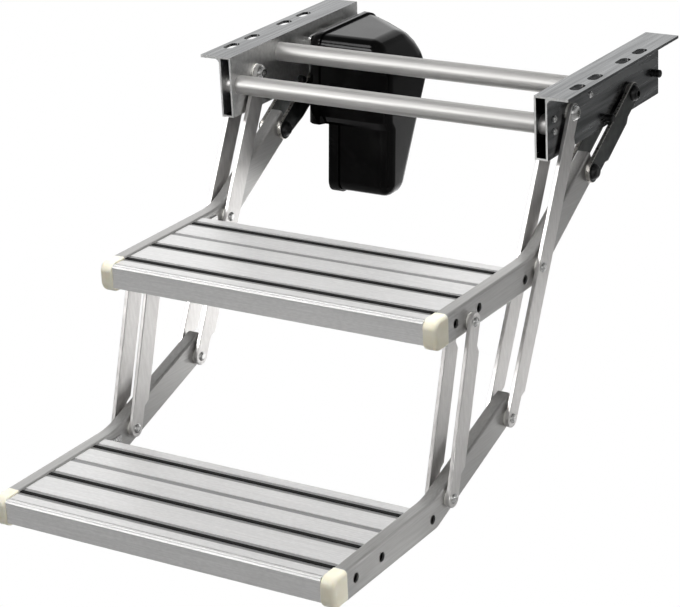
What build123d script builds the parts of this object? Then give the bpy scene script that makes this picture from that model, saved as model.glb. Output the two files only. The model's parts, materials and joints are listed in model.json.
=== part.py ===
from build123d import *
import math
import os

# Electric double entry step for a caravan or camper, modelled let down and locked.
# X points out of the vehicle and Z up, in millimetres. The origin is the centre of the slot
# pattern in the two floor flanges, on their top face.
# Left and right are as seen by someone in front of the step, and the left side has negative Y.

# Floor rails: an extruded box section with a flange along its outer top edge
RAIL_LENGTH = 301.0
RAIL_FRONT = 133.0
RAIL_HEIGHT = 77.0
RAIL_WIDTH = 17.0
RAIL_WALL = 2.5
RAIL_SPAN = 420.0
FLANGE_OVERHANG = 27.0
FLANGE_THICKNESS = 3.5
FLANGE_FILLET = 6.0

# Slots for the floor bolts, along the rail
SLOT_LENGTH = 26.0
SLOT_WIDTH = 13.0
SLOT_OUTER_PITCH = 167.0
SLOT_INNER_PITCH = 75.0
SLOT_FROM_EDGE = 13.0

# Cross tubes between the rails, given by the X and Z of their axes
FRONT_TUBE = (115.5, -38.5)
REAR_TUBE = (22.0, -19.5)
TUBE_DIAMETER = 24.0
TUBE_WALL = 1.5
TUBE_PLUG_LENGTH = 22.0
TUBE_SCREW_DIAMETER = 4.0
TUBE_SCREW_PITCH = 15.0
TUBE_SCREW_LENGTH = 16.0
TUBE_SCREW_HEAD_DIAMETER = 8.0
TUBE_SCREW_HEAD_HEIGHT = 2.5

# Pivots of the linkage, X and Z, with the step let down
RAIL_PIVOT = (77.5, -33.0)
UPPER_PIVOT = (162.5, -196.0)
LOWER_PIVOT = (245.0, -354.0)
SHORT_TOP = (326.0, -205.0)
SHORT_FOOT = (386.5, -395.0)
LOCK_TOP = (-81.5, -52.5)
LOCK_FOOT = (29.0, -119.5)

# Link plates run in pairs, one on each side of a rail or an arm
LINK_THICKNESS = 5.0
LINK_GAP = 2.5
LINK_EYE_RADIUS = 11.0
LINK_STEP = 6.5
LOCK_EYE_RADIUS = 13.5
LOCK_STEP = 4.5
CRANK_NOTCH = (8.0, 30.0)
NOTCH_LENGTH = 27.0
NOTCH_RAMP = 7.0
LINK_EDGE = 0.6

# Pivot pins and their washers
RUNNING_CLEARANCE = 0.05
SIDE_CLEARANCE = 0.15
RAIL_PIN_DIAMETER = 12.0
RAIL_HEAD_DIAMETER = 20.0
RAIL_HEAD_HEIGHT = 4.5
LINK_PIN_DIAMETER = 10.0
LINK_HEAD_DIAMETER = 12.0
LINK_HEAD_HEIGHT = 2.5
LOCK_PIN_DIAMETER = 12.0
LOCK_HEAD_DIAMETER = 20.0
LOCK_HEAD_HEIGHT = 6.0
HEAD_CROWN = 0.55
HEAD_BULGE = 0.2
SOCKET_SIZE = 8.0
SOCKET_DEPTH = 3.5
WASHER_RIM = 5.0

# Stop pins through the rails: the first holds the locked link, the second the folded one
STOP_PIN_DIAMETER = 10.0
LOCK_STOP_REACH = 60.0
FOLD_STOP_INSET = 18.5
STOP_PIN_OUT = 10.0
STOP_PIN_CHAMFER = 1.0
STOP_CLEARANCE = 0.3
LOCK_TRAVEL = 134.4

# Treads: front edge and top face of each board
UPPER_FRONT = 400.0
UPPER_TOP = -182.5
LOWER_FRONT = 628.0
LOWER_TOP = -388.5
BOARD_DEPTH = 187.0
BOARD_SKIN = 6.0
NOSE_RADIUS = 4.0
LIP_HEIGHT = 28.0
LIP_THICKNESS = 3.0
LIP_RETURN = 12.0
NOSE_RIDGE_RADIUS = 1.1
NOSE_RIDGE_ANGLES = (22, 68)
NOSE_GROOVE_POSITION = 7.0
NOSE_GROOVE_WIDTH = 1.2
GRIP_POSITIONS = (29.0, 82.0, 166.0)
GRIP_WIDTH = 5.0
GRIP_DEPTH = 3.0
GRIP_PROUD = 0.4
GRIP_MARGIN = 6.0
GROOVE_DEPTH = 0.8
PLAIN_GROOVE_POSITION = 124.0
PLAIN_GROOVE_WIDTH = 8.5

# Side arms: bent rectangular tube
ARM_HEIGHT = 36.0
ARM_WALL = 2.5
ARM_CORNER = 3.0
ARM_ABOVE_BOARD = 2.0
ARM_BEND_RADIUS = 92.0
ARM_HEEL_RADIUS = 25.0
ARM_END_MARGIN = 14.0
UPPER_ARM_RISE = 29.8
LOWER_ARM_RISE = 18.5

# Screws through the inner wall of each arm, behind the front edge of the board
BOARD_SCREW_POSITIONS = (43.0, 96.0)
CLIP_SCREW_POSITION = 206.0
CLIP_SCREW_DROP = 3.0
CLIP_SCREW_LENGTH = 10.0
SCREW_RISE = 1.5
SCREW_DIAMETER = 5.0
SCREW_LENGTH = 22.0
SCREW_HEAD_DIAMETER = 9.0
SCREW_HEAD_HEIGHT = 3.5
SCREW_ACCESS_DIAMETER = 11.0
SCREW_CHANNEL_DIAMETER = 9.0
SCREW_RIB = 2.5

# Angle clips on the arms, under the rear edge of the board
CLIP_THICKNESS = 2.0
CLIP_WIDTH = 20.0
CLIP_LAP = 20.0
CLIP_MARGIN = 10.0
CLIP_COLLAR_DIAMETER = 10.0
CLIP_COLLAR_HEIGHT = 4.0

# Soft end caps on the front ends of the arms
CAP_DEPTH = 25.0
CAP_FORWARD = 2.5
CAP_PROUD = 0.5
CAP_ROUND = 12.0
CAP_OUTER_EDGE = 5.0
CAP_INNER_EDGE = 2.0
CAP_PLUG_LENGTH = 12.0
CAP_PLUG_CLEARANCE = 0.2

# Motor unit behind the rear tube, beside the left rail
COVER_GAP = 8.0
COVER_WIDTH = 123.0
COVER_TOP = -9.0
COVER_FRONT = -27.4
COVER_TILT = 5.45
COVER_RECESS = 8.0
COVER_SHOULDER = 16.0
COVER_SHOULDER_FALL = 37.0
COVER_STEP = 32.0
COVER_STEP_Z = -124.0
COVER_BOTTOM = -213.0
COVER_REAR_LEFT = -177.0
COVER_REAR_CREASE = -97.0
COVER_REAR_RIGHT = -125.0
COVER_SLOPE_TOP = -86.0
COVER_REAR_BOTTOM = -55.5
COVER_WALL = 3.0
COVER_EDGE = 7.0
COVER_INNER_EDGE = 1.5
COVER_RIM = 2.5
COVER_RIM_UPPER = 21.5
COVER_RIM_LOWER = 14.5
BRACKET_THICKNESS = 4.0
BRACKET_INSET = 1.0
BRACKET_CLEARANCE = 0.3
BRACKET_DEPTH = 120.0
BRACKET_CORNER = 6.0
STANDOFF_DIAMETER = 12.0
STANDOFF_PITCH = 44.0
STANDOFF_RISE = 31.0
MOUNT_BOLT_DIAMETER = 6.0
MOUNT_BOLT_HEAD = 10.0
MOUNT_BOLT_HEAD_HEIGHT = 4.0
MOUNT_BOLT_GRIP = 3.0
NECK_RADIUS = 19.0
NECK_LENGTH = 40.0
DRUM_RADIUS = 24.0
DRUM_LENGTH = 34.0
MOTOR_RADIUS = 19.0
MOTOR_LENGTH = 90.0
MOTOR_AXIS_X = -48.0
MOTOR_FLANGE_HEIGHT = 22.0
MOTOR_FLANGE_RIM = 2.0
SHAFT_IN_GEARBOX = 30.0

# Faces of the side stack, as distances from the middle plane
WALL_IN = RAIL_SPAN / 2
WALL_OUT = WALL_IN + RAIL_WIDTH
WALL_MID = WALL_IN + RAIL_WIDTH / 2
FLANGE_EDGE = WALL_OUT + FLANGE_OVERHANG
OUTER_LINK_IN = WALL_OUT + LINK_GAP
OUTER_LINK_OUT = OUTER_LINK_IN + LINK_THICKNESS
INNER_LINK_OUT = WALL_IN - LINK_GAP
INNER_LINK_IN = INNER_LINK_OUT - LINK_THICKNESS
RAIL_REAR = RAIL_FRONT - RAIL_LENGTH
TUBE_RADIUS = TUBE_DIAMETER / 2
TUBE_REACH = WALL_OUT - RAIL_WALL
RAIL_PIN_RADIUS = RAIL_PIN_DIAMETER / 2
LINK_PIN_RADIUS = LINK_PIN_DIAMETER / 2
LOCK_PIN_RADIUS = LOCK_PIN_DIAMETER / 2
STOP_PIN_RADIUS = STOP_PIN_DIAMETER / 2
COVER_LEFT = WALL_IN - COVER_GAP
COVER_RIGHT = COVER_LEFT - COVER_WIDTH
COVER_STEP_Y = COVER_LEFT - COVER_STEP
SIDES = (("left", -1), ("right", 1))

os.makedirs("parts", exist_ok=True)


def save(part, name):
    part.label = name
    export_step(part, f"parts/{name}.step")


def bore(places, radius, near, far):
    """Cut round holes along Y between two distances from the middle plane."""
    for x, z in places:
        with Locations((x, (near + far) / 2, z)):
            Cylinder(radius, abs(far - near), rotation=(90, 0, 0), mode=Mode.SUBTRACT)


def axial_plane(place, side):
    """Plane through a pivot axis: sketch x runs outwards from the middle, sketch y is the radius."""
    return Plane(origin=(place[0], 0, place[1]), x_dir=(0, side, 0), z_dir=(side, 0, 0))


def pivot_axis(place):
    return Axis((place[0], 0, place[1]), (0, 1, 0))


def turned(place, angle, along, across):
    """Point beside the lock link: along it from its top pivot, and across towards its front edge."""
    heading = math.atan2(LOCK_FOOT[1] - LOCK_TOP[1], LOCK_FOOT[0] - LOCK_TOP[0]) - math.radians(angle)
    x = place[0] + along * math.cos(heading) - across * math.sin(heading)
    z = place[1] + along * math.sin(heading) + across * math.cos(heading)
    return (x, z)


# The locked link rests with its front edge on the first pin, the folded one with its rear edge
LOCK_STOP = turned(LOCK_TOP, 0, LOCK_STOP_REACH, LOCK_EYE_RADIUS + STOP_PIN_RADIUS + STOP_CLEARANCE)
FOLD_STOP_REACH = LOCK_TOP[0] - RAIL_REAR - FOLD_STOP_INSET
FOLD_STOP = turned(
    LOCK_TOP,
    LOCK_TRAVEL,
    FOLD_STOP_REACH,
    -(LOCK_EYE_RADIUS + LOCK_STEP + STOP_PIN_RADIUS + STOP_CLEARANCE),
)
STANDOFF_PLACES = [
    (LOCK_TOP[0] - STANDOFF_PITCH, LOCK_TOP[1] + STANDOFF_RISE),
    (LOCK_TOP[0], LOCK_TOP[1] + STANDOFF_RISE),
    (LOCK_TOP[0] + STANDOFF_PITCH, LOCK_TOP[1] + STANDOFF_RISE),
]


def tube_screw_places(tube):
    return [(tube[0], tube[1] + TUBE_SCREW_PITCH / 2), (tube[0], tube[1] - TUBE_SCREW_PITCH / 2)]


TUBE_SCREWS = tube_screw_places(FRONT_TUBE) + tube_screw_places(REAR_TUBE)


def make_rail(name, side):
    """Box rail with its floor flange, slots and bores."""
    with BuildPart() as rail:
        with BuildSketch(Plane.YZ.offset(RAIL_REAR)):
            with BuildLine():
                Polyline(
                    (side * WALL_IN, 0),
                    (side * FLANGE_EDGE, 0),
                    (side * FLANGE_EDGE, -FLANGE_THICKNESS),
                    (side * WALL_OUT, -FLANGE_THICKNESS),
                    (side * WALL_OUT, -RAIL_HEIGHT),
                    (side * WALL_IN, -RAIL_HEIGHT),
                    close=True,
                )
            make_face()
            root = vertices().sort_by_distance((side * WALL_OUT, -FLANGE_THICKNESS))[0]
            fillet(root, FLANGE_FILLET)
            with Locations((side * WALL_MID, -RAIL_HEIGHT / 2)):
                Rectangle(
                    RAIL_WIDTH - 2 * RAIL_WALL, RAIL_HEIGHT - 2 * RAIL_WALL, mode=Mode.SUBTRACT
                )
        extrude(amount=RAIL_LENGTH)
        with BuildSketch(Plane.XY):
            for pitch in (SLOT_OUTER_PITCH, SLOT_INNER_PITCH):
                with Locations((0, side * (FLANGE_EDGE - SLOT_FROM_EDGE))):
                    with GridLocations(pitch, 0, 2, 1):
                        SlotOverall(SLOT_LENGTH, SLOT_WIDTH)
        extrude(amount=-(FLANGE_THICKNESS + FLANGE_FILLET), mode=Mode.SUBTRACT)
        bore(
            (FRONT_TUBE, REAR_TUBE),
            TUBE_RADIUS + RUNNING_CLEARANCE,
            side * (WALL_IN - RAIL_WALL),
            side * TUBE_REACH,
        )
        bore(
            TUBE_SCREWS,
            TUBE_SCREW_DIAMETER / 2 + RUNNING_CLEARANCE,
            side * TUBE_REACH,
            side * (WALL_OUT + RAIL_WALL),
        )
        through = (side * (WALL_IN - RAIL_WALL), side * (WALL_OUT + RAIL_WALL))
        bore([RAIL_PIVOT], RAIL_PIN_RADIUS + RUNNING_CLEARANCE, *through)
        bore([LOCK_TOP], LOCK_PIN_RADIUS + RUNNING_CLEARANCE, *through)
        bore([LOCK_STOP, FOLD_STOP], STOP_PIN_RADIUS + RUNNING_CLEARANCE, *through)
        if side < 0:
            bore(
                STANDOFF_PLACES,
                MOUNT_BOLT_DIAMETER / 2 + RUNNING_CLEARANCE,
                -(WALL_IN - RAIL_WALL),
                -WALL_MID,
            )
    save(rail.part, name)


def make_cross_tube(name, place):
    """Round tube that passes the inner walls and butts on the outer ones."""
    with BuildPart() as tube:
        with BuildSketch(Plane.XZ.offset(-TUBE_REACH)):
            with Locations(place):
                Circle(TUBE_RADIUS)
                Circle(TUBE_RADIUS - TUBE_WALL, mode=Mode.SUBTRACT)
        extrude(amount=2 * TUBE_REACH)
    save(tube.part, name)


def make_tube_plugs():
    """Turned plugs in the tube ends, which take the end screws."""
    with BuildPart() as plugs:
        for _, side in SIDES:
            middle = side * (TUBE_REACH - TUBE_PLUG_LENGTH / 2)
            for x, z in (FRONT_TUBE, REAR_TUBE):
                with Locations((x, middle, z)):
                    Cylinder(
                        TUBE_RADIUS - TUBE_WALL - RUNNING_CLEARANCE,
                        TUBE_PLUG_LENGTH,
                        rotation=(90, 0, 0),
                    )
            bore(
                TUBE_SCREWS,
                TUBE_SCREW_DIAMETER / 2 + RUNNING_CLEARANCE,
                side * TUBE_REACH,
                side * (TUBE_REACH - TUBE_SCREW_LENGTH),
            )
    save(plugs.part, "tube_end_plugs")


def screw_profile(base, tip, radius, head_radius, head_height):
    """Half section of a screw whose head sits on `base` and whose shank runs to `tip`."""
    dome = base + head_height
    return [
        (tip, 0),
        (tip, radius),
        (base, radius),
        (base, head_radius),
        (base + head_height / 2, head_radius),
        (dome, head_radius - head_height / 2),
        (dome, 0),
    ]


def make_tube_screws():
    """Screws through the outer rail walls into the tube plugs."""
    with BuildPart() as screws:
        for _, side in SIDES:
            for place in TUBE_SCREWS:
                with BuildSketch(axial_plane(place, side)):
                    with BuildLine():
                        Polyline(
                            *screw_profile(
                                WALL_OUT,
                                TUBE_REACH - TUBE_SCREW_LENGTH + RUNNING_CLEARANCE,
                                TUBE_SCREW_DIAMETER / 2,
                                TUBE_SCREW_HEAD_DIAMETER / 2,
                                TUBE_SCREW_HEAD_HEIGHT,
                            ),
                            close=True,
                        )
                    make_face()
                revolve(axis=pivot_axis(place))
    save(screws.part, "tube_screws")


def make_headed_pins(name, place, sides, spans, radius, head_radius, head_height, socket=False):
    """Pins with domed heads; each span gives the faces at its ends and which of them carry a head."""
    crown = HEAD_CROWN * head_radius
    bulge = (1 + HEAD_CROWN) / 2 * head_radius + HEAD_BULGE * head_height
    with BuildPart() as pins:
        for side in sides:
            for low, high, low_head, high_head in spans:
                start = low - head_height if low_head else low
                end = high + head_height if high_head else high
                with BuildSketch(axial_plane(place, side)):
                    with BuildLine():
                        Line((start, 0), (end, 0))
                        Line((low, radius), (high, radius))
                        for face, tip, headed in ((low, start, low_head), (high, end, high_head)):
                            if headed:
                                Line((face, radius), (face, head_radius))
                                ThreePointArc((face, head_radius), ((face + tip) / 2, bulge), (tip, crown))
                                Line((tip, crown), (tip, 0))
                            else:
                                Line((face, radius), (face, 0))
                    make_face()
                revolve(axis=pivot_axis(place))
                if socket:
                    for tip, inward in ((start, 1), (end, -1)):
                        with BuildSketch(Plane.XZ.offset(-side * tip)):
                            with Locations(place):
                                RegularPolygon(SOCKET_SIZE / 2, 6)
                        extrude(amount=-side * inward * SOCKET_DEPTH, mode=Mode.SUBTRACT)
    save(pins.part, name)


def make_washers(name, places):
    """Thin spacers between the plates and the walls that they swing beside."""
    with BuildPart() as washers:
        for _, side in SIDES:
            for place, radius in places:
                for wall in (WALL_OUT, INNER_LINK_OUT):
                    with BuildSketch(Plane.XZ.offset(-side * (wall + SIDE_CLEARANCE))):
                        with Locations(place):
                            Circle(radius + RUNNING_CLEARANCE + WASHER_RIM)
                            Circle(radius + RUNNING_CLEARANCE, mode=Mode.SUBTRACT)
                    extrude(amount=-side * (LINK_GAP - 2 * SIDE_CLEARANCE))
    save(washers.part, name)


def make_stop_pins(name, place):
    """Round pins through both walls of each rail."""
    with BuildPart() as pins:
        for _, side in SIDES:
            near = INNER_LINK_IN
            far = WALL_OUT + STOP_PIN_OUT
            with Locations((place[0], side * (near + far) / 2, place[1])):
                Cylinder(STOP_PIN_RADIUS, far - near, rotation=(90, 0, 0))
        chamfer(pins.edges().filter_by(GeomType.CIRCLE), STOP_PIN_CHAMFER)
    save(pins.part, name)


def make_link(name, start, end, low_y, eye_radius, step, bores, notch=(NOTCH_LENGTH, NOTCH_RAMP)):
    """Flat link plate: round eyes, and a rear edge that steps in beside each eye."""
    length = math.dist(start, end)
    along = ((end[0] - start[0]) / length, 0, (end[1] - start[1]) / length)
    rear = eye_radius + step
    notch_start = notch[0]
    notch_end = sum(notch)
    plate_plane = Plane(origin=(start[0], low_y, start[1]), x_dir=along, z_dir=(0, 1, 0))
    with BuildPart() as link:
        with BuildSketch(plate_plane):
            with BuildLine():
                Line((0, -eye_radius), (length, -eye_radius))
                ThreePointArc((length, -eye_radius), (length + eye_radius, 0), (length, eye_radius))
                Polyline(
                    (length, eye_radius),
                    (length - notch_start, eye_radius),
                    (length - notch_end, rear),
                    (notch_end, rear),
                    (notch_start, eye_radius),
                    (0, eye_radius),
                )
                ThreePointArc((0, eye_radius), (-eye_radius, 0), (0, -eye_radius))
            make_face()
        extrude(amount=LINK_THICKNESS)
        rims = faces().sort_by(Axis.Y)
        chamfer(rims[0].edges() + rims[-1].edges(), LINK_EDGE)
        for place, radius in bores:
            bore(
                [place],
                radius + RUNNING_CLEARANCE,
                low_y - LINK_THICKNESS,
                low_y + 2 * LINK_THICKNESS,
            )
    save(link.part, name)


def link_low_y(side, outer):
    """Lower Y face of a plate on the given side of the step."""
    near, far = (OUTER_LINK_IN, OUTER_LINK_OUT) if outer else (INNER_LINK_IN, INNER_LINK_OUT)
    return near if side > 0 else -far


def arm_path(front, top, rise, through, end):
    """Corner points of an arm's middle line: straight, one bend, then rising past its last pivot."""
    height = top + ARM_ABOVE_BOARD - ARM_HEIGHT / 2
    slope = math.tan(math.radians(rise))
    bend = through[0] + (through[1] - height) / slope
    end_x = end[0] - ARM_END_MARGIN * math.cos(math.radians(rise))
    end_z = through[1] + (through[0] - end_x) * slope
    return [(front - CAP_DEPTH, height), (bend, height), (end_x, end_z)]


def board_screws(front, top):
    """Places of the screws that hold the board, on the arm's inner wall."""
    height = top + ARM_ABOVE_BOARD - ARM_HEIGHT / 2 + SCREW_RISE
    return [(front - back, height) for back in BOARD_SCREW_POSITIONS]


def clip_screw(front, top):
    return (front - CLIP_SCREW_POSITION, top + ARM_ABOVE_BOARD - ARM_HEIGHT / 2 - CLIP_SCREW_DROP)


def arm_outline(path, rise, half, reach):
    """Side outline of an arm around its middle line, drawn past both ends by `reach`."""
    (front, height), (bend, _), (end_x, end_z) = path
    miter = half * math.tan(math.radians(rise) / 2)
    along = (-math.cos(math.radians(rise)), math.sin(math.radians(rise)))
    last = (end_x + reach * along[0], end_z + reach * along[1])
    return [
        (front + reach, height + half),
        (bend + miter, height + half),
        (last[0] + half * along[1], last[1] - half * along[0]),
        (last[0] - half * along[1], last[1] + half * along[0]),
        (bend - miter, height - half),
        (front + reach, height - half),
    ]


def make_arm(name, side, path, rise, pivots, screws):
    """Bent rectangular tube with bores for its pivots and access holes for its screws."""
    with BuildPart() as arm:
        for wall, reach, mode in ((0, 0, Mode.ADD), (ARM_WALL, ARM_WALL, Mode.SUBTRACT)):
            outline = arm_outline(path, rise, ARM_HEIGHT / 2 - wall, reach)
            with BuildSketch(Plane.XZ.offset(-side * (WALL_IN + wall))):
                with BuildLine():
                    Polyline(*outline, close=True)
                make_face()
                fillet(vertices().sort_by_distance(outline[1])[0], ARM_BEND_RADIUS + wall)
                fillet(vertices().sort_by_distance(outline[4])[0], ARM_HEEL_RADIUS - wall)
            extrude(amount=-side * (RAIL_WIDTH - 2 * wall), mode=mode)
            if mode is Mode.ADD:
                by_length = faces().sort_by(Axis.X)
                ends = by_length[0].edges() + by_length[-1].edges()
                sides = faces().filter_by(Axis.Y).edges()
                fillet(sides.filter_by(lambda one: one not in ends), ARM_CORNER)
        through = (side * (WALL_IN - ARM_WALL), side * (WALL_OUT + ARM_WALL))
        bore(pivots, LINK_PIN_RADIUS + RUNNING_CLEARANCE, *through)
        bore(
            screws,
            SCREW_DIAMETER / 2 + RUNNING_CLEARANCE,
            side * (WALL_IN - ARM_WALL),
            side * WALL_MID,
        )
        bore(screws, SCREW_ACCESS_DIAMETER / 2, side * WALL_MID, side * (WALL_OUT + ARM_WALL))
    save(arm.part, name)


def make_board(name, front, top):
    """Extruded tread board: rounded ribbed nose, front lip, grip grooves and screw channels."""
    rear = front - BOARD_DEPTH
    nose_x = front - NOSE_RADIUS
    nose_z = top - NOSE_RADIUS
    screws = board_screws(front, top)
    with BuildPart() as board:
        with BuildSketch(Plane.XZ.offset(-WALL_IN)):
            with BuildLine():
                Line((rear, top), (nose_x, top))
                RadiusArc((nose_x, top), (front, nose_z), NOSE_RADIUS)
                Polyline(
                    (front, nose_z),
                    (front, top - LIP_HEIGHT),
                    (front - LIP_RETURN, top - LIP_HEIGHT),
                    (front - LIP_RETURN, top - LIP_HEIGHT + LIP_THICKNESS),
                    (front - LIP_THICKNESS, top - LIP_HEIGHT + LIP_THICKNESS),
                    (front - LIP_THICKNESS, top - BOARD_SKIN),
                    (rear, top - BOARD_SKIN),
                    (rear, top),
                )
            make_face()
            for turn in NOSE_RIDGE_ANGLES:
                angle = math.radians(turn)
                with Locations(
                    (nose_x + NOSE_RADIUS * math.sin(angle), nose_z + NOSE_RADIUS * math.cos(angle))
                ):
                    Circle(NOSE_RIDGE_RADIUS)
            for x, z in screws:
                with Locations((x, (z + top - BOARD_SKIN) / 2)):
                    Rectangle(SCREW_RIB, top - BOARD_SKIN - z)
                with Locations((x, z)):
                    Circle(SCREW_CHANNEL_DIAMETER / 2)
                    Circle(SCREW_DIAMETER / 2 + RUNNING_CLEARANCE, mode=Mode.SUBTRACT)
            for back in GRIP_POSITIONS:
                with Locations((front - back, top - GROOVE_DEPTH / 2)):
                    Rectangle(GRIP_WIDTH + 2 * GRIP_MARGIN, GROOVE_DEPTH, mode=Mode.SUBTRACT)
                with Locations((front - back, top - GRIP_DEPTH / 2)):
                    Rectangle(GRIP_WIDTH, GRIP_DEPTH, mode=Mode.SUBTRACT)
            for back, width in (
                (PLAIN_GROOVE_POSITION, PLAIN_GROOVE_WIDTH),
                (NOSE_GROOVE_POSITION, NOSE_GROOVE_WIDTH),
            ):
                with Locations((front - back, top - GROOVE_DEPTH / 2)):
                    Rectangle(width, GROOVE_DEPTH, mode=Mode.SUBTRACT)
        extrude(amount=RAIL_SPAN)
    save(board.part, name)


def make_grips(name, front, top):
    """Rubber strips pressed into the board's grooves."""
    with BuildPart() as grips:
        height = GRIP_DEPTH + GRIP_PROUD
        for back in GRIP_POSITIONS:
            with Locations((front - back, 0, top - GRIP_DEPTH + height / 2)):
                Box(GRIP_WIDTH, RAIL_SPAN, height)
        chamfer(grips.faces().group_by(Axis.Z)[-1].edges().filter_by(Axis.Y), GRIP_PROUD / 2)
    save(grips.part, name)


def make_arm_screws(name, front, top):
    """Screws inside the arms, into the board's channels and the clips."""
    lengths = [(place, SCREW_LENGTH) for place in board_screws(front, top)]
    lengths.append((clip_screw(front, top), CLIP_SCREW_LENGTH))
    with BuildPart() as screws:
        for _, side in SIDES:
            for place, length in lengths:
                with BuildSketch(axial_plane(place, side)):
                    with BuildLine():
                        Polyline(
                            *screw_profile(
                                WALL_IN + ARM_WALL,
                                WALL_IN + ARM_WALL - length,
                                SCREW_DIAMETER / 2,
                                SCREW_HEAD_DIAMETER / 2,
                                SCREW_HEAD_HEIGHT,
                            ),
                            close=True,
                        )
                    make_face()
                revolve(axis=pivot_axis(place))
    save(screws.part, name)


def make_clips(name, front, top):
    """Angle clips: one leg screwed to the arm's inner wall, the other under the board's rear edge."""
    place = clip_screw(front, top)
    under = top - BOARD_SKIN
    rear = place[0] - CLIP_MARGIN
    low = place[1] - CLIP_MARGIN
    lap_start = front - BOARD_DEPTH
    lap_end = lap_start + CLIP_LAP
    with BuildPart() as clips:
        for _, side in SIDES:
            with Locations(((rear + lap_end) / 2, side * (WALL_IN - CLIP_THICKNESS / 2), (low + under) / 2)):
                Box(lap_end - rear, CLIP_THICKNESS, under - low)
            with Locations(
                (lap_start + CLIP_LAP / 2, side * (WALL_IN - CLIP_WIDTH / 2), under - CLIP_THICKNESS / 2)
            ):
                Box(CLIP_LAP, CLIP_WIDTH, CLIP_THICKNESS)
            collar = CLIP_THICKNESS + CLIP_COLLAR_HEIGHT
            with Locations((place[0], side * (WALL_IN - collar / 2), place[1])):
                Cylinder(CLIP_COLLAR_DIAMETER / 2, collar, rotation=(90, 0, 0))
            bore(
                [place],
                SCREW_DIAMETER / 2 + RUNNING_CLEARANCE,
                side * (WALL_IN + ARM_WALL),
                side * (WALL_IN - collar - CLIP_THICKNESS),
            )
    save(clips.part, name)


def make_cap(name, side, front, top):
    """Moulded end cap: a block with a round nose that closes the arm, with a plug inside the tube."""
    height = top + ARM_ABOVE_BOARD - ARM_HEIGHT / 2
    half = ARM_HEIGHT / 2 + CAP_PROUD
    rear = front - CAP_DEPTH
    nose = front + CAP_FORWARD
    plug_gap = ARM_WALL + CAP_PLUG_CLEARANCE
    with BuildPart() as cap:
        with BuildSketch(Plane.XZ.offset(-side * WALL_IN)):
            with Locations(((rear + nose) / 2, height)):
                Rectangle(nose - rear, 2 * half)
            fillet(vertices().group_by(Axis.X)[-1], CAP_ROUND)
        extrude(amount=-side * (RAIL_WIDTH + CAP_PROUD))
        seat = faces().sort_by(Axis.X)[0].edges()
        flanks = faces().filter_by(Axis.Y).sort_by(lambda one: abs(one.center().Y))
        for flank, radius in ((flanks[-1], CAP_OUTER_EDGE), (flanks[0], CAP_INNER_EDGE)):
            fillet(flank.edges().filter_by(lambda one: one not in seat), radius)
        with Locations((rear - CAP_PLUG_LENGTH / 2, side * WALL_MID, height)):
            Box(CAP_PLUG_LENGTH, RAIL_WIDTH - 2 * plug_gap, ARM_HEIGHT - 2 * plug_gap)
        corners = cap.edges().filter_by(Axis.X).group_by(Axis.X)[0]
        fillet(corners, ARM_CORNER / 2)
    save(cap.part, name)


def cover_front(z):
    """X of the cover's leaning front face at a height."""
    return COVER_FRONT + (COVER_TOP - z) * math.tan(math.radians(COVER_TILT))


def cover_body(inset, open_y, edge):
    """Solid form of the motor cover, drawn in by `inset` on every side but the open one."""
    slope = math.atan2(COVER_SHOULDER_FALL, COVER_SHOULDER)
    top = COVER_TOP - inset
    bottom = COVER_BOTTOM + inset
    step_z = COVER_STEP_Z + inset
    step_y = COVER_STEP_Y - inset
    right = COVER_RIGHT + inset
    crease = COVER_RIGHT + COVER_SHOULDER + inset * math.tan(slope / 2)
    shoulder_z = COVER_TOP - COVER_SHOULDER_FALL - inset * math.tan((math.pi / 2 - slope) / 2)
    rear_left = COVER_REAR_LEFT + inset
    rear_right = COVER_REAR_RIGHT + inset
    ledge = COVER_SLOPE_TOP + inset
    foremost = cover_front(bottom)
    brow = cover_front(step_z) - inset
    roof_left = Vector(COVER_REAR_LEFT, -COVER_LEFT - COVER_EDGE, COVER_TOP)
    roof_crease = Vector(COVER_REAR_CREASE, -COVER_RIGHT - COVER_SHOULDER, COVER_TOP)
    roof_right = Vector(COVER_REAR_RIGHT, -COVER_RIGHT, COVER_TOP - COVER_SHOULDER_FALL)
    roof_up = (roof_crease - roof_left).cross(roof_right - roof_crease).normalized()
    with BuildPart() as body:
        with BuildSketch(Plane.YZ.offset(foremost)):
            with BuildLine():
                Polyline(
                    (-open_y, top),
                    (-crease, top),
                    (-right, shoulder_z),
                    (-right, bottom),
                    (-step_y, bottom),
                    (-step_y, step_z),
                    (-open_y, step_z),
                    close=True,
                )
            make_face()
        extrude(amount=rear_left - foremost)
        with BuildSketch(Plane.XZ.offset(right)):
            with BuildLine():
                Polyline(
                    (cover_front(top) - inset, top),
                    (brow, step_z),
                    (brow - COVER_RECESS, step_z),
                    (cover_front(bottom) - COVER_RECESS - inset, bottom),
                    (COVER_REAR_BOTTOM + inset, bottom),
                    (rear_right, ledge),
                    (rear_left, ledge),
                    (rear_left, top),
                    close=True,
                )
            make_face()
        extrude(amount=open_y - right, mode=Mode.INTERSECT)
        with BuildSketch(Plane.XY.offset(bottom)):
            with BuildLine():
                Polyline((rear_left, -open_y), (rear_right, -right), (rear_left, -right), close=True)
            make_face()
        extrude(amount=top - bottom, mode=Mode.SUBTRACT)
        split(bisect_by=Plane(roof_crease - roof_up * inset, z_dir=roof_up), keep=Keep.BOTTOM)
        rim = body.faces().filter_by(Axis.Y).sort_by(Axis.Y)[0].edges()
        brow_edges = edges().filter_by_position(Axis.Z, step_z - SIDE_CLEARANCE, step_z + SIDE_CLEARANCE)
        sharp = rim + brow_edges
        fillet(edges().filter_by(lambda one: one not in sharp), edge)
    return body.part


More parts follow.
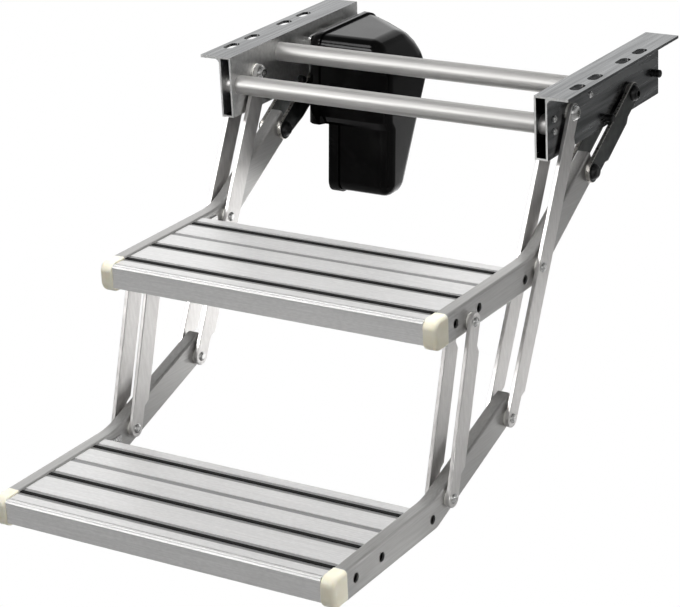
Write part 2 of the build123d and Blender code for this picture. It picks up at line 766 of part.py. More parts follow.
def cover_band(form, left, width, high, low):
    """Strip of a cover form that runs along one of its left edges."""
    rear = COVER_REAR_LEFT - COVER_RIM
    front = cover_front(COVER_BOTTOM) + COVER_RIM
    with BuildPart() as band:
        add(form)
        with Locations(((rear + front) / 2, width / 2 - left, (high + low) / 2)):
            Box(front - rear, width, high - low, mode=Mode.INTERSECT)
    return band.part


def make_motor_cover():
    """Moulded shell over the gear motor, open towards the rail, with thicker rims on its left edges."""
    shell = cover_body(0, COVER_LEFT, COVER_EDGE)
    hollow = cover_body(COVER_WALL, COVER_LEFT + COVER_WALL, COVER_INNER_EDGE)
    proud = cover_body(-COVER_RIM, COVER_LEFT, COVER_EDGE)
    upper_rim = cover_band(
        proud, COVER_LEFT, COVER_RIM_UPPER, COVER_TOP + COVER_RIM, COVER_STEP_Z - COVER_RIM
    )
    lower_rim = cover_band(
        proud, COVER_STEP_Y + COVER_RIM, COVER_RIM_LOWER, COVER_STEP_Z, COVER_BOTTOM - COVER_RIM
    )
    with BuildPart() as cover:
        add(shell)
        add(upper_rim)
        add(lower_rim)
        add(hollow, mode=Mode.SUBTRACT)
    save(cover.part, "motor_cover")


def make_motor_bracket():
    """Plate inside the open side of the cover, which carries the gear motor."""
    inset = COVER_WALL + BRACKET_CLEARANCE
    front = COVER_FRONT - inset
    low = COVER_SLOPE_TOP + inset
    high = COVER_TOP - inset
    with BuildPart() as bracket:
        with BuildSketch(Plane.XZ.offset(COVER_LEFT - BRACKET_INSET)):
            with Locations((front - BRACKET_DEPTH / 2, (low + high) / 2)):
                RectangleRounded(BRACKET_DEPTH, high - low, BRACKET_CORNER)
            with Locations(LOCK_TOP):
                Circle(LOCK_PIN_RADIUS + RUNNING_CLEARANCE, mode=Mode.SUBTRACT)
            with Locations(*STANDOFF_PLACES):
                Circle(MOUNT_BOLT_DIAMETER / 2 + RUNNING_CLEARANCE, mode=Mode.SUBTRACT)
        extrude(amount=-BRACKET_THICKNESS)
    save(bracket.part, "motor_bracket")


def make_standoffs():
    """Spacers that hold the motor bracket off the rail, clear of the crank."""
    with BuildPart() as standoffs:
        with BuildSketch(Plane.XZ.offset(COVER_LEFT - BRACKET_INSET)):
            with Locations(*STANDOFF_PLACES):
                Circle(STANDOFF_DIAMETER / 2)
                Circle(MOUNT_BOLT_DIAMETER / 2 + RUNNING_CLEARANCE, mode=Mode.SUBTRACT)
        extrude(amount=WALL_IN - COVER_LEFT + BRACKET_INSET)
    save(standoffs.part, "motor_standoffs")


def make_mount_bolts():
    """Bolts through the bracket and the standoffs into the rail's inner wall."""
    seat = COVER_LEFT - BRACKET_INSET - BRACKET_THICKNESS
    tip = WALL_IN + RAIL_WALL + MOUNT_BOLT_GRIP
    with BuildPart() as bolts:
        for place in STANDOFF_PLACES:
            with BuildSketch(axial_plane(place, -1)):
                with BuildLine():
                    Polyline(
                        (tip, 0),
                        (tip, MOUNT_BOLT_DIAMETER / 2),
                        (seat, MOUNT_BOLT_DIAMETER / 2),
                        (seat, MOUNT_BOLT_HEAD / 2),
                        (seat - MOUNT_BOLT_HEAD_HEIGHT, MOUNT_BOLT_HEAD / 2),
                        (seat - MOUNT_BOLT_HEAD_HEIGHT, 0),
                        close=True,
                    )
                make_face()
            revolve(axis=pivot_axis(place))
    save(bolts.part, "motor_mount_bolts")


def make_gearbox():
    """Worm gear case: a neck round the output shaft, the wheel's drum and the motor flange."""
    seat = COVER_LEFT - BRACKET_INSET - BRACKET_THICKNESS
    drum_start = seat - NECK_LENGTH
    motor_y = drum_start - DRUM_LENGTH / 2
    with BuildPart() as case:
        with Locations((LOCK_TOP[0], -(seat - NECK_LENGTH / 2), LOCK_TOP[1])):
            Cylinder(NECK_RADIUS, NECK_LENGTH, rotation=(90, 0, 0))
        with Locations((LOCK_TOP[0], -motor_y, LOCK_TOP[1])):
            Cylinder(DRUM_RADIUS, DRUM_LENGTH, rotation=(90, 0, 0))
        with Locations((MOTOR_AXIS_X, -motor_y, LOCK_TOP[1] - DRUM_RADIUS)):
            Cylinder(MOTOR_RADIUS + MOTOR_FLANGE_RIM, MOTOR_FLANGE_HEIGHT)
        bore([LOCK_TOP], LOCK_PIN_RADIUS + RUNNING_CLEARANCE, -seat, -(seat - SHAFT_IN_GEARBOX))
    save(case.part, "gearbox_case")
    with BuildPart() as can:
        top = LOCK_TOP[1] - DRUM_RADIUS - MOTOR_FLANGE_HEIGHT / 2
        with BuildSketch(Plane.XY.offset(top)):
            with Locations((MOTOR_AXIS_X, -motor_y)):
                Circle(MOTOR_RADIUS)
        extrude(amount=-MOTOR_LENGTH)
        fillet(can.faces().sort_by(Axis.Z)[0].edges(), MOTOR_FLANGE_RIM)
    save(can.part, "motor_can")


def make_output_shaft():
    """Shaft from the gearbox through the crank, the left rail and the outer lock link."""
    seat = COVER_LEFT - BRACKET_INSET - BRACKET_THICKNESS
    inner = seat - SHAFT_IN_GEARBOX + SIDE_CLEARANCE
    make_headed_pins(
        "output_shaft",
        LOCK_TOP,
        (-1,),
        [(inner, OUTER_LINK_OUT, False, True)],
        LOCK_PIN_RADIUS,
        LOCK_HEAD_DIAMETER / 2,
        LOCK_HEAD_HEIGHT,
    )


# Fixed frame
for label, sign in SIDES:
    make_rail(f"{label}_rail", sign)
make_cross_tube("front_cross_tube", FRONT_TUBE)
make_cross_tube("rear_cross_tube", REAR_TUBE)
make_tube_plugs()
make_tube_screws()
through_stack = (INNER_LINK_IN - SIDE_CLEARANCE, OUTER_LINK_OUT + SIDE_CLEARANCE, True, True)
make_headed_pins(
    "rail_pivot_bolts",
    RAIL_PIVOT,
    (-1, 1),
    [through_stack],
    RAIL_PIN_RADIUS,
    RAIL_HEAD_DIAMETER / 2,
    RAIL_HEAD_HEIGHT,
    socket=True,
)
make_headed_pins(
    "right_lock_bolt",
    LOCK_TOP,
    (1,),
    [through_stack],
    LOCK_PIN_RADIUS,
    LOCK_HEAD_DIAMETER / 2,
    LOCK_HEAD_HEIGHT,
    socket=True,
)
make_stop_pins("lock_stop_pins", LOCK_STOP)
make_stop_pins("fold_stop_pins", FOLD_STOP)

# Motor unit
make_motor_cover()
make_motor_bracket()
make_standoffs()
make_mount_bolts()
make_gearbox()
make_output_shaft()

# Long, short and lock links, in pairs on both sides
for label, sign in SIDES:
    for layer, is_outer in (("outer", True), ("inner", False)):
        base_y = link_low_y(sign, is_outer)
        make_link(
            f"{label}_{layer}_long_link",
            RAIL_PIVOT,
            LOWER_PIVOT,
            base_y,
            LINK_EYE_RADIUS,
            LINK_STEP,
            [
                (RAIL_PIVOT, RAIL_PIN_RADIUS),
                (UPPER_PIVOT, LINK_PIN_RADIUS),
                (LOWER_PIVOT, LINK_PIN_RADIUS),
            ],
        )
        make_link(
            f"{label}_{layer}_short_link",
            SHORT_TOP,
            SHORT_FOOT,
            base_y,
            LINK_EYE_RADIUS,
            LINK_STEP,
            [(SHORT_TOP, LINK_PIN_RADIUS), (SHORT_FOOT, LINK_PIN_RADIUS)],
        )
        is_crank = sign < 0 and not is_outer
        make_link(
            "drive_crank" if is_crank else f"{label}_{layer}_lock_link",
            LOCK_TOP,
            LOCK_FOOT,
            base_y,
            LOCK_EYE_RADIUS,
            LOCK_STEP,
            [(LOCK_TOP, LOCK_PIN_RADIUS), (LOCK_FOOT, LINK_PIN_RADIUS)],
            CRANK_NOTCH if is_crank else (NOTCH_LENGTH, NOTCH_RAMP),
        )

# Rivets that pass right through an arm, and the short ones of the two open pivots
rivet_span = [(INNER_LINK_IN, OUTER_LINK_OUT, True, True)]
stub_spans = [
    (WALL_OUT + SIDE_CLEARANCE, OUTER_LINK_OUT, False, True),
    (INNER_LINK_IN, WALL_IN - SIDE_CLEARANCE, True, False),
]
for rivet_name, rivet_place, spans in (
    ("upper_pivot_rivets", UPPER_PIVOT, rivet_span),
    ("lower_pivot_rivets", LOWER_PIVOT, rivet_span),
    ("short_link_top_rivets", SHORT_TOP, rivet_span),
    ("short_link_foot_rivets", SHORT_FOOT, stub_spans),
):
    make_headed_pins(
        rivet_name,
        rivet_place,
        (-1, 1),
        spans,
        LINK_PIN_RADIUS,
        LINK_HEAD_DIAMETER / 2,
        LINK_HEAD_HEIGHT,
    )
make_headed_pins(
    "lock_foot_bolts",
    LOCK_FOOT,
    (-1, 1),
    stub_spans,
    LINK_PIN_RADIUS,
    LOCK_HEAD_DIAMETER / 2,
    LOCK_HEAD_HEIGHT,
)
make_washers(
    "long_link_washers",
    [
        (RAIL_PIVOT, RAIL_PIN_RADIUS),
        (UPPER_PIVOT, LINK_PIN_RADIUS),
        (LOWER_PIVOT, LINK_PIN_RADIUS),
    ],
)
make_washers("short_link_washers", [(SHORT_TOP, LINK_PIN_RADIUS), (SHORT_FOOT, LINK_PIN_RADIUS)])
make_washers("lock_link_washers", [(LOCK_TOP, LOCK_PIN_RADIUS), (LOCK_FOOT, LINK_PIN_RADIUS)])

# The two steps
for step, front_x, top_z, rise, through_place, end_place, pivots in (
    (
        "upper",
        UPPER_FRONT,
        UPPER_TOP,
        UPPER_ARM_RISE,
        LOCK_FOOT,
        LOCK_FOOT,
        (UPPER_PIVOT, SHORT_TOP, LOCK_FOOT),
    ),
    (
        "lower",
        LOWER_FRONT,
        LOWER_TOP,
        LOWER_ARM_RISE,
        SHORT_FOOT,
        LOWER_PIVOT,
        (LOWER_PIVOT, SHORT_FOOT),
    ),
):
    make_board(f"{step}_tread_board", front_x, top_z)
    make_grips(f"{step}_grip_strips", front_x, top_z)
    make_clips(f"{step}_board_clips", front_x, top_z)
    make_arm_screws(f"{step}_arm_screws", front_x, top_z)
    screw_places = board_screws(front_x, top_z) + [clip_screw(front_x, top_z)]
    middle_line = arm_path(front_x, top_z, rise, through_place, end_place)
    for label, sign in SIDES:
        make_arm(f"{step}_{label}_arm", sign, middle_line, rise, pivots, screw_places)
        make_cap(f"{step}_{label}_cap", sign, front_x, top_z)
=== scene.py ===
# %% [markdown]
# # A folding caravan entry step
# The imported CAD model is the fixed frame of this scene: rails, tubes, links, arms and treads are
# already at their real size and place. Blender adds the light, the camera and the finish of every
# surface. It also rounds the cut edges of the plates and the corners of the motor cover.

# %% Load the frame
import bpy
import json
import math
from mathutils import Matrix, Vector


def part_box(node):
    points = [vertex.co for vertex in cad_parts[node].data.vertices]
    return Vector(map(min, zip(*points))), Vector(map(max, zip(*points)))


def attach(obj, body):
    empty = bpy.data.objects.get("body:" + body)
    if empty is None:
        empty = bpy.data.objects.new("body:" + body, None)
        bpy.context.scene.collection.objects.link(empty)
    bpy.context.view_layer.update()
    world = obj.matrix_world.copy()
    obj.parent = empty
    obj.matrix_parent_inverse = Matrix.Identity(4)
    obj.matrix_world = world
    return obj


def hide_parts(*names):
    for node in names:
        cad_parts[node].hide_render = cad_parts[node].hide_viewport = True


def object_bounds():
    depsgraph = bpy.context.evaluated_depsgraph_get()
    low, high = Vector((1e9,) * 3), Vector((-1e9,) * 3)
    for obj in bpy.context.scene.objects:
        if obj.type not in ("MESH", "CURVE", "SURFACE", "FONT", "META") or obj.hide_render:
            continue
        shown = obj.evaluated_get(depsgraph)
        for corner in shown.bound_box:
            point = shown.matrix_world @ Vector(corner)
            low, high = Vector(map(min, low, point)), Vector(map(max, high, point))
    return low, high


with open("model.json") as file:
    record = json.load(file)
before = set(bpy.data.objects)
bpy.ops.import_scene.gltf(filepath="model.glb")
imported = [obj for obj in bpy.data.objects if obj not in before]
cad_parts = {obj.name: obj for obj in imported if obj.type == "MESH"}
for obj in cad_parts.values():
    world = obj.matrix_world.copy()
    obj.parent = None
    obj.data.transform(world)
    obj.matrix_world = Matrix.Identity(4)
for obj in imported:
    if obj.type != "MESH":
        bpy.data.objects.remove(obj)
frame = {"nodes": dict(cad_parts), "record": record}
nodes = frame["nodes"]
cad_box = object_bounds()
bpy.ops.object.select_all(action="DESELECT")
print("CAD nodes:", len(nodes), "box:", cad_box)

# %% [markdown]
# ## Camera
# The photograph was taken with a long lens from the front right, a little above the treads. A
# camera can be placed by eye, but a fit of the rails, treads and tubes to the picture gives its
# heading, tilt and roll directly. They are turned into three axes, which are the columns of the
# camera's matrix.

# %% Camera
CAMERA_PLACE = Vector((2.5075, 1.4586, 0.7875))
CAMERA_HEADING = 0.571
CAMERA_TILT = 0.368
CAMERA_ROLL = -0.049
FOCAL_PIXELS = 2428.5
IMAGE_WIDTH = 680
SENSOR_WIDTH = 36.0

ahead = Vector((
    -math.cos(CAMERA_HEADING) * math.cos(CAMERA_TILT),
    -math.sin(CAMERA_HEADING) * math.cos(CAMERA_TILT),
    -math.sin(CAMERA_TILT),
))
level = Vector((-math.sin(CAMERA_HEADING), math.cos(CAMERA_HEADING), 0))
upright = level.cross(ahead)
right = level * math.cos(CAMERA_ROLL) + upright * math.sin(CAMERA_ROLL)
up = upright * math.cos(CAMERA_ROLL) - level * math.sin(CAMERA_ROLL)
axes = Matrix((right, up, -ahead)).transposed()

camera_data = bpy.data.cameras.new("camera")
camera_data.sensor_width = SENSOR_WIDTH
camera_data.lens = FOCAL_PIXELS * SENSOR_WIDTH / IMAGE_WIDTH
camera = bpy.data.objects.new("camera", camera_data)
bpy.context.scene.collection.objects.link(camera)
camera.matrix_world = Matrix.Translation(CAMERA_PLACE) @ axes.to_4x4()
bpy.context.scene.camera = camera
print("lens:", round(camera_data.lens, 1), "mm")

# %% [markdown]
# ## Floor
# The step hangs under a vehicle, so nothing of it stands on the floor, which lies a little below
# the lower tread. A product shot shows it on pure white. The floor looks white to the camera, and
# it stays a mid grey for the light that bounces off it, so that the metal keeps its dark
# reflections.

# %% Floor
FLOOR_DROP = 0.20
FLOOR_SIZE = 30
FLOOR_GREY = (0.42, 0.42, 0.42, 1)

bpy.ops.mesh.primitive_plane_add(size=FLOOR_SIZE, location=(0, 0, cad_box[0].z - FLOOR_DROP))
floor = bpy.context.object
floor.name = "floor"
floor_paint = bpy.data.materials.new("pale floor")
floor_paint.use_nodes = True
floor_tree = floor_paint.node_tree
floor_tree.nodes.clear()
floor_out = floor_tree.nodes.new("ShaderNodeOutputMaterial")
floor_mix = floor_tree.nodes.new("ShaderNodeMixShader")
floor_grey = floor_tree.nodes.new("ShaderNodeBsdfDiffuse")
floor_white = floor_tree.nodes.new("ShaderNodeEmission")
floor_ray = floor_tree.nodes.new("ShaderNodeLightPath")
floor_grey.inputs["Color"].default_value = FLOOR_GREY
white_share, grey_side, white_side = floor_mix.inputs
floor_tree.links.new(floor_ray.outputs["Is Camera Ray"], white_share)
floor_tree.links.new(floor_grey.outputs["BSDF"], grey_side)
floor_tree.links.new(floor_white.outputs["Emission"], white_side)
floor_tree.links.new(floor_mix.outputs["Shader"], floor_out.inputs["Surface"])
floor.data.materials.append(floor_paint)
print("floor at", round(floor.location.z, 3), "m")

# %% [markdown]
# ## Studio room
# Satin metal shows the room that it stands in. A bright strip round the horizon lights the treads,
# and a dark ceiling makes the sloping arms dark, as on the photograph. That room is a ramp over
# the height of the sky, which is simpler than a picture of a studio and gives no hard spots.

# %% Studio room
SKY_STOPS = ((0.5, 0.45), (0.66, 0.5), (0.8, 0.22), (1.0, 0.08))

bpy.context.scene.view_settings.view_transform = "Standard"
world = bpy.data.worlds.new("studio")
bpy.context.scene.world = world
world.use_nodes = True
sky_tree = world.node_tree
sky_place = sky_tree.nodes.new("ShaderNodeTexCoord")
sky_split = sky_tree.nodes.new("ShaderNodeSeparateXYZ")
sky_height = sky_tree.nodes.new("ShaderNodeMapRange")
sky_ramp = sky_tree.nodes.new("ShaderNodeValToRGB")
sky_height.inputs["From Min"].default_value = -1
sky_tree.links.new(sky_place.outputs["Generated"], sky_split.inputs["Vector"])
sky_tree.links.new(sky_split.outputs["Z"], sky_height.inputs["Value"])
sky_tree.links.new(sky_height.outputs["Result"], sky_ramp.inputs["Fac"])
sky_tree.links.new(sky_ramp.outputs["Color"], sky_tree.nodes["Background"].inputs["Color"])
while len(sky_ramp.color_ramp.elements) < len(SKY_STOPS):
    sky_ramp.color_ramp.elements.new(SKY_STOPS[0][0])
for stop, (height, grey) in zip(sky_ramp.color_ramp.elements, SKY_STOPS):
    stop.position = height
    stop.color = (grey, grey, grey, 1)
print("sky stops:", len(sky_ramp.color_ramp.elements))

# %% [markdown]
# ## Lamps
# Soft boxes add the highlights: the largest stands behind on the left, where the treads mirror it
# to the camera. One spot makes a pool of light on the floor behind, which the upright plates
# mirror, and another lights the front of the lower right arm. One strong lamp would be simpler, but
# each of these has a surface of its own. Some show only as reflections and others only light the
# matt part of the metal, so they can be set apart from each other.

# %% Lamps
SPOT_BLEND = 0.6
CENTRE = (0, 0, 0)
DOWN = (0, 0, -1)

middle = (cad_box[0] + cad_box[1]) / 2


def lamp(name, kind, place, direction, power):
    """A lamp at a place from the part's middle, which the camera doesn't see."""
    data = bpy.data.lights.new(name, kind)
    data.energy = power
    light = bpy.data.objects.new(name, data)
    bpy.context.scene.collection.objects.link(light)
    light.location = middle + Vector(place)
    light.rotation_euler = Vector(direction).to_track_quat("-Z", "Y").to_euler()
    light.visible_camera = False
    return light


def soft_box(name, place, size, power, aim=CENTRE):
    """A square lamp that looks at a point."""
    light = lamp(name, "AREA", place, Vector(aim) - Vector(place), power)
    light.data.size = size
    return light


def spot(name, place, direction, cone, power, radius=0.0):
    """A spot with a soft rim, its cone given in degrees."""
    light = lamp(name, "SPOT", place, direction, power)
    light.data.spot_size = math.radians(cone)
    light.data.spot_blend = SPOT_BLEND
    light.data.shadow_soft_size = radius
    return light


key = soft_box("key", place=(1.9, -1.3, 1.0), size=0.9, power=26)
soft_box("back", place=(-2.7, -1.5, 1.3), size=3.4, power=24)
top = soft_box("top", place=(0.2, 0.0, 2.0), size=1.0, power=50, aim=(0.1, 0, 0))
pool = spot("pool", place=(-0.95, 0.14, 1.2), direction=DOWN, cone=50, power=240)
low_side = (0.32, -0.97, 0.02)
spot("low", place=(-0.05, 1.2, -0.27), direction=low_side, cone=15, power=32, radius=0.1)
strip = soft_box("strip", place=(0.7, -1.0, 1.5), size=0.5, power=5)
soft_box("card", place=(-0.45, -0.13, -0.15), size=0.42, power=0.4, aim=(-0.1, -0.25, 0))
soft_box("fill", place=(2.2, 2.0, 0.8), size=1.6, power=5)
for light in (key, strip):
    light.visible_diffuse = False
for light in (top, pool):
    light.visible_glossy = False

# %% [markdown]
# ## Tools for the finishes
# A finish starts as one Principled shader. What is the same all over a surface is set on the
# shader's own sockets, and what varies comes from noise on Object coordinates. The noise is
# stretched along the axis in which a piece was drawn or brushed, and it then drives the colour, the
# roughness and a shallow relief. Small helpers for these steps keep each finish short.

# %% Tools for the finishes
NOISE_LOW = 0.3
NOISE_HIGH = 0.7


def shader_of(material):
    """The Principled shader of a finish."""
    return material.node_tree.nodes["Principled BSDF"]


def base_finish(name, colour, metallic, roughness):
    """A Principled material with its plain values."""
    material = bpy.data.materials.new(name)
    material.use_nodes = True
    shader = shader_of(material)
    shader.inputs["Base Color"].default_value = (*colour, 1)
    shader.inputs["Metallic"].default_value = metallic
    shader.inputs["Roughness"].default_value = roughness
    return material


def grain(material, per_metre, detail=2.0):
    """Noise with so many grains per metre along X, Y and Z of the object."""
    tree = material.node_tree
    place = tree.nodes.new("ShaderNodeTexCoord")
    mapping = tree.nodes.new("ShaderNodeMapping")
    noise = tree.nodes.new("ShaderNodeTexNoise")
    mapping.inputs["Scale"].default_value = per_metre
    noise.inputs["Scale"].default_value = 1
    noise.inputs["Detail"].default_value = detail
    tree.links.new(place.outputs["Object"], mapping.inputs["Vector"])
    tree.links.new(mapping.outputs["Vector"], noise.inputs["Vector"])
    return noise.outputs["Fac"]


def tint(material, value, dark, light, start=NOISE_LOW, end=NOISE_HIGH):
    """Colour between two tones, by a noise value."""
    ramp = material.node_tree.nodes.new("ShaderNodeValToRGB")
    for stop, place, tone in zip(ramp.color_ramp.elements, (start, end), (dark, light)):
        stop.position = place
        stop.color = (*tone, 1)
    material.node_tree.links.new(value, ramp.inputs["Fac"])
    return ramp.outputs["Color"]


def colour_by(material, value, dark, light, start=NOISE_LOW, end=NOISE_HIGH):
    """Base colour between two tones, by a noise value."""
    tone = tint(material, value, dark, light, start, end)
    material.node_tree.links.new(tone, shader_of(material).inputs["Base Color"])


def gloss_by(material, value, low, high):
    """Roughness between two values, by a noise value."""
    node = material.node_tree.nodes.new("ShaderNodeMapRange")
    node.inputs["From Min"].default_value = NOISE_LOW
    node.inputs["From Max"].default_value = NOISE_HIGH
    node.inputs["To Min"].default_value = low
    node.inputs["To Max"].default_value = high
    material.node_tree.links.new(value, node.inputs["Value"])
    material.node_tree.links.new(node.outputs["Result"], shader_of(material).inputs["Roughness"])


def relief_by(material, value, depth):
    """Shallow bumps of a depth in metres, by a noise value."""
    bump = material.node_tree.nodes.new("ShaderNodeBump")
    bump.inputs["Distance"].default_value = depth
    bump.inputs["Strength"].default_value = 1.0
    material.node_tree.links.new(value, bump.inputs["Height"])
    material.node_tree.links.new(bump.outputs["Normal"], shader_of(material).inputs["Normal"])


print("finish tools ready")

# %% [markdown]
# ## Tools for a finish by place
# Part of a surface can take another tone by where it lies and which way it looks; on the treads
# that is painted shade on the floors of the grooves. A mask drawn in a picture could do that, but
# the tread's grooves all lie at one height, so a few comparisons of the height are enough and need
# no picture. These helpers make such comparisons out of nodes.

# %% Tools for a finish by place


def upward(material, node_type, output):
    """The Z part of a vector that a new node gives."""
    tree = material.node_tree
    split = tree.nodes.new("ShaderNodeSeparateXYZ")
    tree.links.new(tree.nodes.new(node_type).outputs[output], split.inputs["Vector"])
    return split.outputs["Z"]


def calculate(material, operation, first, second):
    """One calculation on a value and another value or a plain number."""
    node = material.node_tree.nodes.new("ShaderNodeMath")
    node.operation = operation
    material.node_tree.links.new(first, node.inputs[0])
    if isinstance(second, float):
        node.inputs[1].default_value = second
    else:
        material.node_tree.links.new(second, node.inputs[1])
    return node.outputs["Value"]


def overlaid(material, share, below, tone):
    """A colour, with a plain tone over it where the share is 1."""
    mix = material.node_tree.nodes.new("ShaderNodeMix")
    mix.data_type = "RGBA"
    sockets = {one.identifier: one for one in (*mix.inputs, *mix.outputs)}
    material.node_tree.links.new(share, sockets["Factor_Float"])
    material.node_tree.links.new(below, sockets["A_Color"])
    sockets["B_Color"].default_value = (*tone, 1)
    return sockets["Result_Color"]


print("place tools ready")

# %% [markdown]
# ## Treads
# Each tread is an aluminium extrusion with a satin anodised skin. The die leaves fine lines along
# the board, so its noise is drawn out along Y. The floors of the grooves are painted darker than
# the walked-on face as painted shade, and they are found by their height: below the tread's top,
# where the surface looks up.

# %% Treads
TREAD_LINES = (900, 9, 900)
TREAD_SPECKS = (420, 150, 420)
SPECK_DETAIL = 3
TREAD_TONE = (0.66, 0.65, 0.65)
TREAD_DARK = (0.69, 0.685, 0.68)
TREAD_LIGHT = (0.81, 0.805, 0.80)
TREAD_REACH = (0.12, 0.42)
TREAD_METALLIC = 0.5
TREAD_ROUGHNESS = 0.42
TREAD_GLOSS = (0.4, 0.5)
TREAD_RELIEF = 0.00008
GRIP_PROUD = 0.0004
GROOVE_SINK = 0.0004
SKIN_DEPTH = 0.0055
# Painted shade: the dark tone of the groove floors.
GROOVE_SHADE_TONE = (0.30, 0.30, 0.30)
SQUARE = 0.99


def tread_finish(step):
    """Lined satin skin for one board, with painted shade on the groove floors under its own top."""
    tread_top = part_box(f"{step}_grip_strips")[1].z - GRIP_PROUD
    material = base_finish(f"{step} tread skin", TREAD_TONE, TREAD_METALLIC, TREAD_ROUGHNESS)
    lines = grain(material, TREAD_LINES)
    specks = grain(material, TREAD_SPECKS, SPECK_DETAIL)
    both = calculate(material, "MULTIPLY", lines, specks)
    skin = tint(material, both, TREAD_DARK, TREAD_LIGHT, *TREAD_REACH)
    height = upward(material, "ShaderNodeTexCoord", "Object")
    facing = upward(material, "ShaderNodeNewGeometry", "True Normal")
    below = calculate(material, "LESS_THAN", height, tread_top - GROOVE_SINK)
    within = calculate(material, "GREATER_THAN", height, tread_top - SKIN_DEPTH)
    looks_up = calculate(material, "GREATER_THAN", facing, SQUARE)
    in_band = calculate(material, "MULTIPLY", below, within)
    groove = calculate(material, "MULTIPLY", in_band, looks_up)
    # Painted shade: the groove floors take the dark tone over the skin.
    tone = overlaid(material, groove, skin, GROOVE_SHADE_TONE)
    material.node_tree.links.new(tone, shader_of(material).inputs["Base Color"])
    gloss_by(material, specks, *TREAD_GLOSS)
    relief_by(material, lines, TREAD_RELIEF)
    return material


tread_finishes = {step: tread_finish(step) for step in ("upper", "lower")}
print("tread finishes:", [one.name for one in tread_finishes.values()])

# %% [markdown]
# ## Metals
# The arms, links, rails and tubes are aluminium too, and each left its works in another state. The
# arms and tubes are satin anodised, the links are cut from plate and have a warm, smooth face, and
# the rails keep the blotchy skin of the mill. One recipe with other tones and grain sizes makes
# them all, and it makes the steel of the lock links and screws as well.

# %% Metals


def metal_finish(
    name, dark, light, per_metre, gloss, depth,
    detail=2.0, metallic=1.0, reach=(NOISE_LOW, NOISE_HIGH),
):
    """Metal whose tone, gloss and relief follow one stretched noise."""
    material = base_finish(name, light, metallic, gloss[0])
    lines = grain(material, per_metre, detail)
    colour_by(material, lines, dark, light, *reach)
    gloss_by(material, lines, *gloss)
    relief_by(material, lines, depth)
    return material


arm_metal = metal_finish(
    "satin arm", dark=(0.43, 0.425, 0.415), light=(0.52, 0.515, 0.505),
    per_metre=(20, 600, 600), gloss=(0.34, 0.42), depth=0.00006, metallic=0.75,
)
tube_metal = metal_finish(
    "satin tube", dark=(0.42, 0.413, 0.402), light=(0.49, 0.483, 0.472),
    per_metre=(700, 14, 700), gloss=(0.42, 0.5), depth=0.00005, metallic=0.7,
)
link_metal = metal_finish(
    "plate face", dark=(0.62, 0.605, 0.59), light=(0.72, 0.705, 0.69),
    per_metre=(260, 260, 60), gloss=(0.28, 0.38), depth=0.00006, metallic=0.85,
)
rail_metal = metal_finish(
    "mill skin", dark=(0.1, 0.104, 0.107), light=(0.28, 0.287, 0.29),
    per_metre=(7, 160, 110), gloss=(0.16, 0.3), depth=0.0002, detail=4.0, reach=(0.38, 0.64),
)
# Bright metal for the rails' sawn ends; on the left rail's inner wall the same finish is a painted
# reflection.
sawn_end_and_sheen = metal_finish(
    "sawn end", dark=(0.7, 0.7, 0.69), light=(0.85, 0.85, 0.84),
    per_metre=(200, 900, 200), gloss=(0.35, 0.45), depth=0.0001,
)
zinc = metal_finish(
    "zinc plate", dark=(0.55, 0.55, 0.54), light=(0.70, 0.70, 0.69),
    per_metre=(400, 400, 400), gloss=(0.2, 0.3), depth=0.00005,
)
black_oxide = metal_finish(
    "blackened steel", dark=(0.02, 0.02, 0.02), light=(0.06, 0.06, 0.06),
    per_metre=(300, 300, 300), gloss=(0.3, 0.42), depth=0.00005,
)
coated = metal_finish(
    "dark coat", dark=(0.05, 0.054, 0.052), light=(0.10, 0.105, 0.102),
    per_metre=(120, 120, 120), gloss=(0.3, 0.42), depth=0.00006,
)
# Painted highlight: a light metal tone for the cut faces of the dark lock links.
edge_highlight_finish = metal_finish(
    "painted edge highlight", dark=(0.42, 0.40, 0.37), light=(0.6, 0.58, 0.55),
    per_metre=(300, 300, 300), gloss=(0.25, 0.35), depth=0.00004,
)
die_cast = metal_finish(
    "die cast", dark=(0.30, 0.30, 0.31), light=(0.46, 0.46, 0.47),
    per_metre=(500, 500, 500), gloss=(0.4, 0.55), depth=0.0002,
)
print("metals:", arm_metal.name, tube_metal.name, link_metal.name, rail_metal.name)

# %% [markdown]
# ## Rubber, plastics and paint
# The grips are matt rubber, the caps a cream plastic that lets a little light in, and the cover is
# glossy black and shows soft highlights on its edges. A smooth surface with a low index of
# refraction keeps its flats dark between them. The relief is only as deep as the moulds leave it.

# %% Rubber, plastics and paint
MOTTLE_DETAIL = 3
CREAM_GLOW = 0.25
CREAM_REACH = (0.004, 0.003, 0.002)
COVER_IOR = 1.25
RUBBER_SHINE = 0.1


def moulded_finish(name, dark, light, per_metre, gloss, depth):
    """Plastic, rubber or paint whose tone and relief follow one noise."""
    material = base_finish(name, light, 0.0, gloss[0])
    mottle = grain(material, per_metre, MOTTLE_DETAIL)
    colour_by(material, mottle, dark, light)
    gloss_by(material, mottle, *gloss)
    relief_by(material, mottle, depth)
    return material


